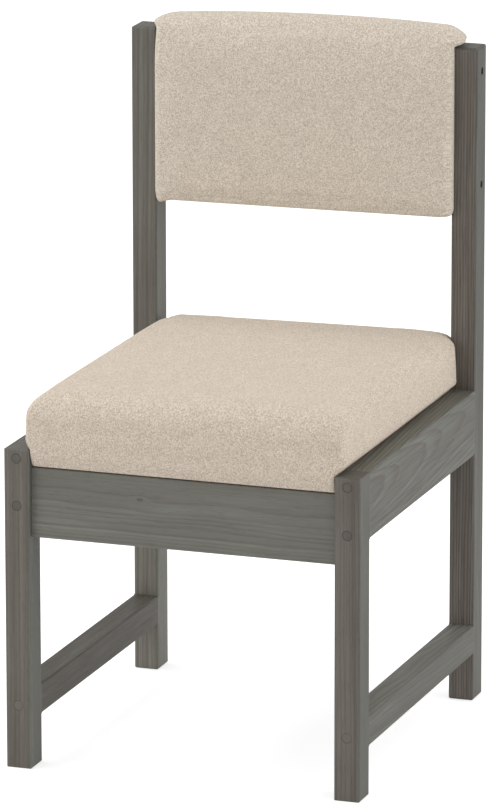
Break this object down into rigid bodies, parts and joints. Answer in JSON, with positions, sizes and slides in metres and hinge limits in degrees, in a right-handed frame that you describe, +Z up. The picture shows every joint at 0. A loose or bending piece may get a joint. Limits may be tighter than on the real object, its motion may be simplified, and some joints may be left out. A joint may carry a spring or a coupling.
{
  "type": "dining side chair",
  "caption": "Straight wooden dining side chair with butt-jointed side frames, low side stretchers, a deep upholstered seat pad and an upholstered back pad between the posts.",
  "frame": {"origin": "on the floor, under the middle of the chair's overall box", "axes": "+X to the viewer's right when facing the chair's front, +Y towards the back, +Z up; the front faces -Y"},
  "size_m": [0.46, 0.497, 0.876],
  "materials": {
    "stained_pine": "matt grey stain, open grain",
    "stained_end_grain": "matt grey stain on end grain",
    "raw_pine": "planed, unfinished",
    "plywood": "unfinished",
    "zinc_steel": "zinc plated",
    "black_steel": "black oxide",
    "foam": "open-cell polyurethane",
    "upholstery_cloth": "heathered oatmeal weave",
    "dust_cloth": "thin black non-woven"
  },
  "bodies": {
    "root": {"left_front_leg": "stained_pine", "right_front_leg": "stained_pine", "left_rear_post": "stained_pine", "right_rear_post": "stained_pine", "left_side_rail": "stained_pine", "right_side_rail": "stained_pine", "left_stretcher": "stained_pine", "right_stretcher": "stained_pine", "front_apron": "stained_pine", "rear_apron": "stained_pine", "front_left_corner_block": "raw_pine", "front_right_corner_block": "raw_pine", "rear_left_corner_block": "raw_pine", "rear_right_corner_block": "raw_pine", "frame_screws": "zinc_steel", "plugs": "stained_end_grain", "apron_dowels": "raw_pine", "block_screws": "zinc_steel", "seat_screws": "zinc_steel", "back_screws": "black_steel", "seat_deck": "plywood", "seat_foam": "foam", "seat_cover": "upholstery_cloth", "seat_dust_cover": "dust_cloth", "seat_staples": "zinc_steel", "back_board": "plywood", "back_foam": "foam", "back_cover": "upholstery_cloth", "back_staples": "zinc_steel"}
  },
  "joints": []
}
